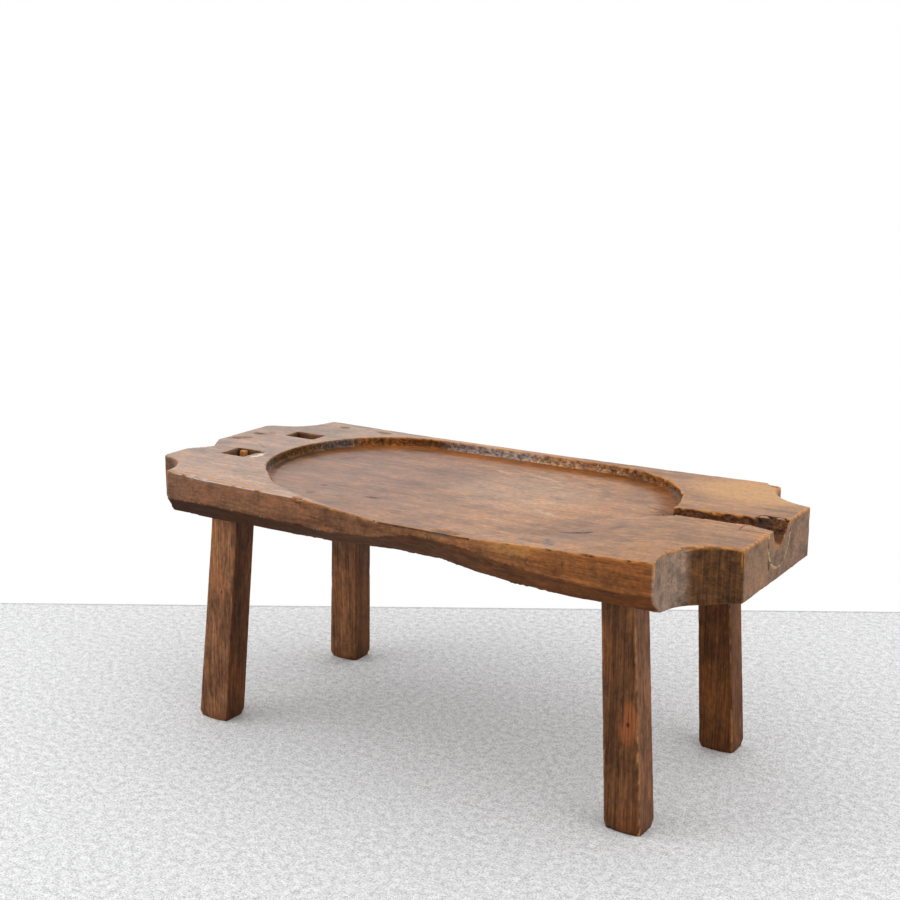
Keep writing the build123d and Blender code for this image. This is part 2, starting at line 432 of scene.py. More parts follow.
def blur(low, high, values):
    # 0 below low, 1 above high, smooth between them
    share = np.clip((values - low) / (high - low), 0, 1)
    return share * share * (3 - 2 * share)


def stretch(places, scale, seed):
    return places * np.array(scale) + seed * np.array(noiseShape["spread"])


def lumps(places, scale, seed):
    # smooth noise between 0 and 1
    values = np.array([noise.noise(Vector(place)) for place in stretch(places, scale, seed)])
    return np.clip(0.5 + noiseShape["swing"] * values, 0, 1)


def dishes(places, scale, seed):
    # shallow hewn dishes: 1 in the middle of a cell, 0 on the ridge round it
    moved = stretch(places, scale, seed)
    away = np.array([noise.voronoi(Vector(place))[0][0] for place in moved])
    return np.clip(1 - (away / noiseShape["dish"]) ** 2, 0, 1)


def blend(layers, depths):
    # several noises added up, each times its depth
    return sum(depth * layers[name] for name, depth in depths.items())


def oval(places, x, y, length, width, turn):
    # 1 in the middle of a turned oval on the plan, 0 at its edge
    angle = math.radians(turn)
    along = (places[:, 0] - x) * math.cos(angle) + (places[:, 1] - y) * math.sin(angle)
    across = -(places[:, 0] - x) * math.sin(angle) + (places[:, 1] - y) * math.cos(angle)
    away = (2 * along / length) ** 2 + (2 * across / width) ** 2
    return np.clip(1 - away, 0, 1)


def dress(piece, node, material):
    mesh = piece.data
    mesh.materials.clear()
    mesh.materials.append(material)
    mesh.polygons.foreach_set("use_smooth", [True] * len(mesh.polygons))
    mesh.polygons.foreach_set("material_index", [0] * len(mesh.polygons))
    mesh.update()
    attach(piece, "root")
    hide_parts(node)


# wood grain
def grain(bench, where, alongZ, seed):
    # broad bands, fibres and fine lines that run along the wood, each about 0.5, and
    # the dark pores, 0 or 1; the grain that runs up a leg is straighter
    def turned(along, across):
        if alongZ:
            return (across * 1.15, across * 1.15, along * 0.35)
        return (along, across, across)
    twist = 0.06 if alongZ else 0.5
    bands = bench.cloud(where, turned(3.6, 38), (seed, 2, 1), detail=4.0, rough=0.6, twist=twist)
    fibres = bench.cloud(where, turned(11, 165), (seed, 5, 3), detail=4.0, rough=0.65, twist=twist)
    lines = bench.cloud(where, turned(20, 340), (1, seed, 7), detail=3.0, rough=0.6)
    pores = bench.cloud(where, turned(40, 480), (3, seed, 1), detail=1.0)
    return bands, fibres, lines, bench.step(pores, 0.58, 0.70)


# slab
slabPiece = {
    "voxel": 0.0027,
    "triangles": 188000,
    "rounds": 6,             # of averaging, to tell an edge from a face
    "deepest": 0.008,
    "trayFloor": 0.424,
    "trayRadius": 0.198,
    "trayLeft": -0.174,
    "trayRight": 0.161,
    "trayY": 0.012,
    "seats": ((-0.3598, -0.1652), (-0.3578, 0.1676), (0.3744, -0.1682), (0.3778, 0.1674)),
    "nearRightScoop": (0.526, -0.209, 0.0795),
    "channelStart": 0.345,
    # the near edge at the left as places in x and y, and the worn bevel along it
    "nearEdge": ((-0.556, -0.210), (-0.368, -0.236), (-0.214, -0.242)),
    "lip": {"from": -0.448, "fade": -0.300, "to": -0.165, "width": 0.0075, "narrowing": 0.6,
            "drop": 0.0022, "line": 0.0024, "above": (0.430, 0.433), "rim": (0.4362, 0.4372)},
    # where the edges begin to be rubbed more
    "rub": {"height": (0.405, 0.425), "left": (-0.34, -0.18), "near": (-0.16, -0.20)},
    "sharpEdge": 0.08,
    "sharpReach": 6,         # rings of small faces kept round each arris
    "plainBelow": 0.004,
    "insert": {"start": 0.485, "y": 0.008, "half": 0.044, "low": 0.423,
               "face": (0.533, 0.5345), "glue": (0.0006, 0.0021)},
    # the pocket of the insert, the near mortise and the legs' seats, where the wear stops
    "pocket": {"from": 0.487, "to": 0.5355, "half": 0.0475, "low": 0.376, "keep": 0.08},
    "mortise": {"x": -0.4325, "y": -0.056, "halfX": 0.0275, "halfY": 0.025, "stubTop": 0.414},
    "seatReach": (0.030, 0.048),
    "seatTop": 0.415,
    # which part of the slab a vertex belongs to
    "zones": {"flat": (0.72, 0.94), "low": (0.12, 0.45), "wall": (0.007, 0.011), "footDrop": 0.004,
              "channelLow": 0.417, "channelShift": 0.012, "channelHalf": 0.034, "lean": 0.6},
    # the limits of the fields that the shader reads
    "fields": {"wear": (0.09, 0.34), "dirt": (0.10, 0.42), "seamHalf": 0.052, "seamEnd": 0.530,
               "trayLow": 0.415, "trayRim": 0.03, "ends": (0.35, 0.8), "endsFrom": 0.43,
               "scoop": (0.003, 0.006), "upright": (0.80, 0.97)},
    # the band on the tray floor at the foot of its wall: painted shade towards the left end, an
    # orange-brown tint further right
    "cove": {"reach": (-0.044, -0.020), "narrow": -0.014, "stop": 0.004, "high": 0.4295,
             "low": 0.42, "wideFrom": (-0.06, 0.06), "fade": (-0.14, -0.04), "wall": (0.25, 0.75)},
    # noises: their scales along x, y and z, and their seed
    "noises": {
        "hewn": ((17, 34, 34), 3.1),
        "broad": ((7, 12, 16), 1.7),
        "furrows": ((10, 150, 150), 4.4),
        "small": ((55, 60, 60), 8.2),
        "tools": ((260, 1, 40), 6.6),
        "chunks": ((80, 80, 110), 9.3),
        "nicks": ((42, 42, 42), 2.9),
    },
    # how deep each noise cuts into the sides, the underside, the top and the tray's wall
    "cuts": {
        "side": {"broad": 0.0005, "furrows": 0.0003, "small": 0.0003},
        "under": {"hewn": 0.0005, "broad": 0.0006, "furrows": 0.0004},
        "top": {"broad": 0.0004, "furrows": 0.0001, "small": 0.0002},
        "wall": {"tools": 0.0011, "small": 0.0006, "chunks": 0.0026},
    },
    "toolTurn": (0.25, 0.2),
    "chunksFrom": 0.09,
    "arris": {"sharp": (0.16, 0.50), "least": 0.0003, "nick": 0.0026, "extra": 0.8,
              "rightFrom": 0.3, "middleFrom": -0.16, "nearSide": -0.2},
    # dents in the top: x, y, length, width, turn, depth
    "dents": (
        (-0.5100, 0.031, 0.052, 0.018, 38, 0.0035),
        (-0.5000, 0.078, 0.030, 0.016, 20, 0.0030),
        (-0.4810, 0.088, 0.020, 0.026, 60, 0.0020),
        (-0.3970, 0.203, 0.022, 0.016, 10, 0.0025),
        (-0.3100, 0.207, 0.046, 0.014, -5, 0.0030),
        (-0.4310, -0.001, 0.060, 0.008, -38, 0.0008),
        (-0.1600, -0.246, 0.022, 0.018, 0, 0.0060),
        (0.4560, 0.244, 0.056, 0.050, 0, 0.0075),
        (-0.4050, -0.038, 0.020, 0.014, 20, 0.0040),
        (0.3600, -0.250, 0.030, 0.012, 5, 0.0040),
        (0.4250, -0.250, 0.036, 0.014, 0, 0.0045),
        (0.1115, -0.2320, 0.058, 0.020, 4, 0.0044),
        (0.2440, -0.2090, 0.062, 0.014, -12, 0.0014),
        (0.2700, -0.2080, 0.060, 0.020, -60, 0.0016),
        (-0.0940, -0.1320, 0.036, 0.007, 6, 0.0012),
        (0.2780, -0.1360, 0.046, 0.008, 16, 0.0012),
        (-0.2060, -0.1110, 0.016, 0.012, 0, 0.0012),
        (-0.2000, -0.1600, 0.020, 0.012, 10, 0.0012),
        (0.5090, 0.0520, 0.016, 0.012, 0, 0.0060),
        (0.5250, 0.0500, 0.012, 0.010, 0, 0.0055),
    ),
}


def trayReach(places):
    # distance outside the tray's wall line on the plan
    along = np.clip(places[:, 0], slabPiece["trayLeft"], slabPiece["trayRight"])
    away = np.hypot(places[:, 0] - along, places[:, 1] - slabPiece["trayY"])
    return away - slabPiece["trayRadius"]


def slabZones(places, normals):
    # which part of the slab each vertex belongs to, as shares from 0 to 1
    zones = slabPiece["zones"]
    flat = blur(*zones["flat"], normals[:, 2])
    low = blur(*zones["low"], -normals[:, 2])
    side = np.clip(1 - flat - low, 0, 1)
    wall = (1 - blur(*zones["wall"], np.abs(trayReach(places)))) * (1 - flat)
    floor = slabPiece["trayFloor"]
    wall *= blur(floor - zones["footDrop"], floor, places[:, 2])
    channel = (places[:, 0] > slabPiece["channelStart"]) & (places[:, 2] > zones["channelLow"])
    across = np.abs(places[:, 1] - slabPiece["insert"]["y"] - zones["channelShift"])
    channel &= (across < zones["channelHalf"]) & (np.abs(normals[:, 0]) < zones["lean"])
    return flat, low, side, np.maximum(wall, channel * side)


def lipShare(places):
    # across the worn bevel: 0 at its inner line, 1 at the near face
    lip = slabPiece["lip"]
    width = lip["width"] * (1 - blur(lip["fade"], lip["to"], places[:, 0]) * lip["narrowing"])
    nearEdge = np.interp(places[:, 0], *zip(*slabPiece["nearEdge"]))
    share = np.clip((nearEdge + width - places[:, 1]) / width, 0, 1)
    return share * (places[:, 0] > lip["from"]) * (places[:, 0] < lip["to"])


def rubShare(places):
    # how far an edge is worn: little on the lower ones and round the left end's top
    rub = slabPiece["rub"]
    low = 0.2 + 0.8 * blur(*rub["height"], places[:, 2])
    left = blur(*rub["left"], places[:, 0]) + 0.6 * blur(*rub["near"], places[:, 1])
    return low * (0.3 + 0.7 * np.clip(left, 0, 1))


def wallFootShadeShare(places, wall):
    # a band on the tray floor at the foot of its wall, wider on the far side: painted shade towards
    # the left end, where it stands in for a sloping wall, and an orange-brown tint further right
    cove = slabPiece["cove"]
    reach = trayReach(places)
    share = blur(*cove["reach"], reach) * (reach < cove["stop"])
    share = share * (places[:, 2] < cove["high"]) * (places[:, 2] > cove["low"])
    wide = blur(*cove["wideFrom"], places[:, 1])
    share = share * np.maximum(wide, reach > cove["narrow"]) * blur(*cove["fade"], places[:, 1])
    return share * (1 - blur(*cove["wall"], wall))


def writeZones(mesh, edge, places, normals):
    # the fields of the slab and of the insert that the shader reads
    fields = slabPiece["fields"]
    flat, low, side, wall = slabZones(places, normals)
    insert = slabPiece["insert"]
    seam = places[:, 0] > insert["start"]
    seam &= np.abs(places[:, 1] - insert["y"]) < fields["seamHalf"]
    seam &= (places[:, 2] > fields["trayLow"]) & (places[:, 0] < fields["seamEnd"])
    inTray = np.abs(trayReach(places)) < fields["trayRim"]
    inTray &= places[:, 2] > fields["trayLow"]
    # convex edges painted lighter: edge wear with a painted highlight along the arrises
    writeField(mesh, "wear", blur(*fields["wear"], edge) * (1 - seam) * rubShare(places))
    # painted shade and grime: concave corners darkened, outside the tray and the insert seam
    writeField(mesh, "dirt", blur(*fields["dirt"], -edge) * (1 - seam) * (1 - inTray))
    writeField(mesh, "flatTop", flat)
    writeField(mesh, "underside", low)
    writeField(mesh, "trayWall", wall)
    writeField(mesh, "cove", wallFootShadeShare(places, wall))
    ends = blur(*fields["ends"], np.abs(normals[:, 0]))
    ends = ends * (np.abs(places[:, 0]) > fields["endsFrom"])
    writeField(mesh, "endGrain", ends * side * (1 - wall))
    x, y, radius = slabPiece["nearRightScoop"]
    away = np.abs(np.hypot(places[:, 0] - x, places[:, 1] - y) - radius)
    upright = 1 - blur(*fields["upright"], np.abs(normals[:, 2]))
    writeField(mesh, "scoop", (1 - blur(*fields["scoop"], away)) * upright)


def slabLayers(places):
    # the noises that the slab's wear is made of
    noises = slabPiece["noises"]
    layers = {"hewn": dishes(places, *noises["hewn"])}
    for name in ("broad", "furrows", "small"):
        layers[name] = lumps(places, *noises[name])
    turnShare, riseShare = slabPiece["toolTurn"]
    turn = np.arctan2(places[:, 1] - slabPiece["trayY"], places[:, 0]) * turnShare
    ring = np.stack((turn, turn * 0, places[:, 2] * riseShare), axis=1)
    layers["tools"] = lumps(ring, *noises["tools"])
    chunks = blur(0.45, 0.85, lumps(places, *noises["chunks"]))
    layers["chunks"] = chunks * (places[:, 0] > slabPiece["chunksFrom"])
    layers["nicks"] = blur(0.62, 0.95, lumps(places, *noises["nicks"]))
    return layers


def keepShare(places):
    # near 0 where another piece sits against the slab, 1 where the wear is free
    keep = np.ones(len(places))
    for x, y in slabPiece["seats"]:
        away = np.maximum(np.abs(places[:, 0] - x), np.abs(places[:, 1] - y))
        keep *= np.where(places[:, 2] < slabPiece["seatTop"], blur(*slabPiece["seatReach"], away), 1)
    pocket = slabPiece["pocket"]
    inPocket = (places[:, 0] > pocket["from"]) & (places[:, 0] < pocket["to"])
    inPocket &= np.abs(places[:, 1] - slabPiece["insert"]["y"]) < pocket["half"]
    keep *= np.where(inPocket & (places[:, 2] > pocket["low"]), pocket["keep"], 1)
    mortise = slabPiece["mortise"]
    inMortise = np.abs(places[:, 0] - mortise["x"]) < mortise["halfX"]
    inMortise &= np.abs(places[:, 1] - mortise["y"]) < mortise["halfY"]
    return keep * np.where(inMortise & (places[:, 2] < mortise["stubTop"]), 0, 1)


def wearDepth(places, edge, zones):
    # how deep the wear goes at each vertex
    flat, low, side, wall = zones
    layers = slabLayers(places)
    cuts = slabPiece["cuts"]
    depth = side * blend(layers, cuts["side"])
    depth += low * blend(layers, cuts["under"])
    depth += flat * blend(layers, cuts["top"])
    depth += wall * blend(layers, cuts["wall"])
    rules = slabPiece["arris"]
    arris = blur(*rules["sharp"], edge)
    nearMiddle = (places[:, 1] < rules["nearSide"]) & (places[:, 0] > rules["middleFrom"])
    many = (places[:, 0] > rules["rightFrom"]) | nearMiddle
    nicks = layers["nicks"] * (1 + rules["extra"] * many) * rubShare(places)
    depth += arris * (rules["least"] + rules["nick"] * nicks)
    for x, y, length, width, turned, deep in slabPiece["dents"]:
        shape = oval(places, x, y, length, width, turned) * (0.7 + 0.6 * layers["small"])
        depth += (flat + arris).clip(0, 1) * deep * np.clip(shape, 0, 1) ** 0.8
    depth += lipShare(places) * flat * slabPiece["lip"]["drop"]
    return np.clip(depth, 0, slabPiece["deepest"]) * keepShare(places)


def carveSlab():
    piece = copyNode("slab", "hewnSlab", slabPiece["voxel"])
    mesh = piece.data
    places, normals, edge = survey(mesh, slabPiece["rounds"], slabPiece["voxel"])
    zones = slabZones(places, normals)
    depth = wearDepth(places, edge, zones)
    writePlaces(mesh, places - normals * depth[:, None], "slab")

    places, normals, edge = survey(mesh, slabPiece["rounds"], slabPiece["voxel"])
    writeZones(mesh, edge, places, normals)
    flat = zones[0]
    sharp = (np.abs(edge) > slabPiece["sharpEdge"]).astype(float) + (lipShare(places) > 0) * flat
    sharp = average(mesh, sharp[:, None], slabPiece["sharpReach"])[:, 0]
    thinMesh(piece, slabPiece["triangles"], sharp < slabPiece["plainBelow"])
    return piece


slabFinish = {
    # colours from the left end, 0, to the spout end, 1
    "span": (-0.54, 0.54),
    "trayToTop": (0.4245, 0.4395),
    "scoopTurn": (-0.168, -0.150),
    "top": (
        (0.05, (0.325, 0.192, 0.128)),
        (0.35, (0.385, 0.238, 0.152)),
        (0.60, (0.340, 0.165, 0.075)),
        (0.86, (0.350, 0.160, 0.056)),
    ),
    "tray": (
        (0.20, (0.250, 0.130, 0.080)),
        (0.42, (0.305, 0.148, 0.082)),
        (0.62, (0.380, 0.192, 0.096)),
        (0.85, (0.368, 0.168, 0.066)),
    ),
    "side": (
        (0.02, (0.110, 0.060, 0.036)),
        (0.12, (0.182, 0.084, 0.044)),
        (0.42, (0.165, 0.071, 0.033)),
        (0.58, (0.230, 0.098, 0.040)),
        (0.78, (0.232, 0.086, 0.024)),
        (0.93, (0.180, 0.060, 0.015)),
    ),
    "under": (
        (0.10, (0.042, 0.014, 0.004)),
        (0.45, (0.086, 0.033, 0.011)),
        (0.65, (0.128, 0.047, 0.015)),
        (0.90, (0.128, 0.040, 0.008)),
    ),
    "wall": (
        (0.158, (0.105, 0.045, 0.011)),
        (0.170, (0.120, 0.090, 0.070)),
        (0.190, (0.125, 0.098, 0.082)),
        (0.206, (0.200, 0.075, 0.016)),
        (0.250, (0.165, 0.058, 0.012)),
        (0.290, (0.120, 0.038, 0.006)),
        (0.325, (0.125, 0.047, 0.013)),
        (0.375, (0.250, 0.210, 0.210)),
        (0.490, (0.275, 0.225, 0.205)),
        (0.545, (0.370, 0.220, 0.125)),
        (0.640, (0.430, 0.235, 0.125)),
        (0.700, (0.350, 0.155, 0.062)),
        (0.760, (0.240, 0.090, 0.024)),
        (0.800, (0.200, 0.082, 0.026)),
        (0.830, (0.105, 0.040, 0.013)),
    ),
    "end": (0.215, 0.120, 0.069),
    # the near part of the scoop: grey from a painted reflection of the pale surroundings
    "scoopGreyReflection": (0.250, 0.176, 0.133),
    "scoopBrown": (0.090, 0.039, 0.013),
    # dark brown painted shade at the left end of the band, orange-brown tint to its right
    "cove": (
        (0.155, (0.085, 0.040, 0.016)),
        (0.215, (0.250, 0.085, 0.016)),
    ),
    # the whitish outer line of the near-left bevel: rubbed wood with a painted highlight
    "rubbed": (0.620, 0.580, 0.560),
    # the orange of the edge lines: worn wood with a painted highlight
    "worn": (0.610, 0.250, 0.058),
    "glue": (0.620, 0.500, 0.290),
    # the near-black of the painted shade and grime in concave corners
    "soot": (0.022, 0.012, 0.008),
}
# marks in the finish: tone, centre, size, turn, strength
slabMarks = (
    ("soot", (-0.0935, -0.132, 0.425), (0.042, 0.010, 0.04), 7, 0.85),
    ("soot", (-0.0285, -0.149, 0.425), (0.026, 0.007, 0.04), 0, 0.5),
    ("soot", (0.2780, -0.136, 0.428), (0.060, 0.017, 0.04), 16, 1.0),
    ("soot", (0.2660, -0.140, 0.428), (0.036, 0.008, 0.04), 4, 1.0),
    ("soot", (0.2900, -0.131, 0.428), (0.030, 0.009, 0.04), 30, 1.0),
    ("slate", (0.3170, 0.134, 0.427), (0.110, 0.015, 0.02), -52, 0.75),
    ("soot", (0.3720, -0.150, 0.433), (0.034, 0.008, 0.04), 10, 0.5),
    ("soot", (0.3300, 0.045, 0.424), (0.110, 0.010, 0.04), -27, 0.6),
    ("soot", (-0.2060, -0.111, 0.424), (0.020, 0.014, 0.04), 20, 0.6),
    ("soot", (-0.2000, -0.160, 0.424), (0.026, 0.014, 0.04), 10, 0.6),
    ("soot", (-0.2850, 0.062, 0.424), (0.050, 0.030, 0.04), 60, 0.45),
    ("soot", (0.2040, 0.105, 0.424), (0.060, 0.016, 0.04), -40, 0.3),
    ("soot", (-0.0500, 0.133, 0.424), (0.026, 0.010, 0.04), 10, 0.4),
    ("soot", (-0.5100, 0.031, 0.440), (0.050, 0.016, 0.03), 38, 0.6),
    ("soot", (-0.5080, -0.016, 0.440), (0.034, 0.022, 0.03), 50, 0.6),
    ("soot", (-0.5000, 0.078, 0.440), (0.034, 0.022, 0.03), 20, 0.8),
    ("soot", (-0.3970, 0.203, 0.440), (0.026, 0.020, 0.03), 10, 0.8),
    ("soot", (-0.3100, 0.207, 0.440), (0.048, 0.016, 0.03), -5, 0.8),
    ("soot", (-0.2590, -0.173, 0.440), (0.044, 0.008, 0.03), 33, 0.6),
    ("soot", (-0.1600, -0.242, 0.437), (0.030, 0.026, 0.024), 0, 1.0),
    ("soot", (-0.0760, -0.245, 0.408), (0.0035, 0.05, 0.050), 0, 0.8),
    ("soot", (0.2120, -0.243, 0.423), (0.012, 0.05, 0.005), 0, 0.8),
    ("soot", (0.2180, -0.243, 0.394), (0.014, 0.05, 0.006), 0, 0.8),
    ("soot", (0.2310, -0.243, 0.396), (0.005, 0.05, 0.012), 0, 0.7),
    ("soot", (0.2540, -0.243, 0.407), (0.004, 0.05, 0.024), 0, 0.8),
    ("soot", (0.3120, -0.243, 0.412), (0.005, 0.05, 0.020), 0, 0.7),
    ("soot", (0.5360, -0.030, 0.391), (0.030, 0.016, 0.024), 0, 1.0),
    ("soot", (0.5360, 0.108, 0.428), (0.020, 0.012, 0.022), 0, 0.5),
    ("soot", (0.5000, 0.038, 0.430), (0.050, 0.016, 0.030), 0, 0.7),
    ("slate", (0.4490, -0.230, 0.432), (0.030, 0.040, 0.026), 0, 0.7),
    ("slate", (0.2680, -0.205, 0.430), (0.066, 0.024, 0.04), -60, 0.6),
    ("slate", (0.2430, -0.209, 0.430), (0.056, 0.014, 0.04), -13, 0.6),
    ("soot", (0.2610, -0.196, 0.430), (0.040, 0.005, 0.04), -60, 0.7),
    ("soot", (0.2800, -0.214, 0.430), (0.030, 0.005, 0.04), -30, 0.7),
    ("soot", (0.2350, -0.207, 0.430), (0.060, 0.005, 0.04), -13, 0.7),
    ("soot", (0.3400, -0.240, 0.436), (0.040, 0.008, 0.02), 0, 0.6),
    ("soot", (0.4600, 0.226, 0.415), (0.050, 0.030, 0.04), 0, 0.8),
    ("soot", (-0.4690, -0.062, 0.436), (0.016, 0.012, 0.03), 0, 0.6),
    ("soot", (-0.4050, -0.038, 0.436), (0.022, 0.014, 0.03), 20, 0.6),
    ("soot", (-0.4350, 0.004, 0.440), (0.060, 0.005, 0.03), -38, 0.5),
    ("moss", (-0.4190, 0.120, 0.420), (0.060, 0.040, 0.05), 0, 0.7),
    ("slate", (0.1115, -0.233, 0.424), (0.062, 0.022, 0.02), 4, 0.9),
    # painted reflection: bluish-white patches on the near-left bevel
    ("skyReflection", (-0.1930, -0.226, 0.440), (0.060, 0.018, 0.03), 0, 0.35),
    ("skyReflection", (-0.3920, -0.228, 0.440), (0.026, 0.012, 0.01), -8, 1.0),
    ("skyReflection", (-0.3620, -0.232, 0.440), (0.018, 0.011, 0.01), -8, 0.9),
    ("honey", (0.4300, 0.170, 0.440), (0.300, 0.170, 0.06), -6, 0.82),
    ("honey", (0.2200, -0.246, 0.420), (0.120, 0.050, 0.03), 0, 0.35),
    ("chalk", (0.0790, 0.125, 0.424), (0.100, 0.012, 0.04), -14, 0.5),
    ("chalk", (0.1200, 0.080, 0.424), (0.050, 0.008, 0.04), 20, 0.5),
    ("chalk", (0.1500, -0.020, 0.424), (0.070, 0.010, 0.04), 30, 0.4),
    ("chalk", (0.0000, 0.125, 0.424), (0.050, 0.012, 0.04), -14, 0.5),
    ("chalk", (0.1900, -0.065, 0.424), (0.080, 0.014, 0.04), -20, 0.5),
    # painted sheen and pale scratch haze: a broad faint pale patch over the middle of the tray floor
    ("chalk", (0.0900, 0.030, 0.424), (0.340, 0.260, 0.04), 0, 0.2),
    ("cream", (-0.3910, -0.058, 0.440), (0.050, 0.015, 0.03), 82, 1.0),
)
markTones = {
    "soot": (0.026, 0.015, 0.010),
    "slate": (0.110, 0.100, 0.094),
    # the bluish white of the painted reflections on the near-left bevel
    "skyReflection": (0.430, 0.455, 0.490),
    "cream": (0.820, 0.700, 0.520),
    "moss": (0.150, 0.110, 0.040),
    "honey": (0.590, 0.295, 0.082),
    "chalk": (0.600, 0.440, 0.300),
}


def slabColour(bench, where):
    # the colour of each part of the slab from end to end, and the three coordinates
    x, y, z = (bench.node("ShaderNodeSeparateXYZ", None, {0: where}, part) for part in range(3))
    along = bench.slope(x, *slabFinish["span"])
    onTop = bench.step(z, *slabFinish["trayToTop"])
    colour = bench.mix(onTop, bench.ramp(along, slabFinish["tray"]),
                       bench.ramp(along, slabFinish["top"]))
    colour = bench.mix(bench.field("flatTop"), bench.ramp(along, slabFinish["side"]), colour)
    colour = bench.mix(bench.field("underside"), colour, bench.ramp(along, slabFinish["under"]))
    colour = bench.mix(bench.field("endGrain"), colour, rgb(*slabFinish["end"]))
    # painted reflection: grey on the near part of the scoop, brown wood on the rest
    scoop = bench.mix(bench.step(y, *slabFinish["scoopTurn"]), rgb(*slabFinish["scoopGreyReflection"]),
                      rgb(*slabFinish["scoopBrown"]))
    colour = bench.mix(bench.field("scoop"), colour, scoop)
    colour = bench.mix(bench.field("trayWall"), colour, bench.ramp(along, slabFinish["wall"]))
    # the band at the wall's foot: painted shade at the left, orange-brown tint further right
    colour = bench.mix(bench.field("cove"), colour, bench.ramp(along, slabFinish["cove"]))
    return colour, x, y, z


def glueLine(bench, x, y, z):
    # the line of old glue round the insert, on the end face
    insert = slabPiece["insert"]
    values = {"X": y - insert["y"], "Y": bench.sum("MINIMUM", z - insert["low"], 0.0)}
    away = bench.vector("LENGTH", bench.node("ShaderNodeCombineXYZ", None, values), take="Value")
    away = bench.sum("ABSOLUTE", away - insert["half"])
    return (1 - bench.step(away, *insert["glue"])) * bench.step(x, *insert["face"])


def lipLines(bench, x, y, z):
    # the inner and the outer line of the worn bevel, and the bevel itself; the outer line is painted
    # whitish as a rubbed edge with a painted highlight
    lip = slabPiece["lip"]
    width = lip["width"] * (1 - bench.step(x, lip["fade"], lip["to"]) * lip["narrowing"])
    first, middle, last = slabPiece["nearEdge"]
    nearEdge = bench.slope(x, first[0], middle[0], first[1], middle[1])
    nearEdge = nearEdge + bench.slope(x, middle[0], last[0], 0.0, last[1] - middle[1])
    inward = y - nearEdge
    along = bench.step(x, lip["from"], lip["from"] + 0.02)
    along = along * (1 - bench.step(x, lip["to"] - 0.01, lip["to"])) * bench.step(z, *lip["above"])
    inner = bench.sum("ABSOLUTE", inward - width)
    inner = (1 - bench.step(inner, lip["line"] * 0.5, lip["line"] * 1.4)) * along
    outer = (1 - bench.step(inward, 0.0012, 0.0030)) * along * bench.step(z, *lip["rim"])
    return inner, outer, along * (1 - bench.step(inward, width, width + 0.004))


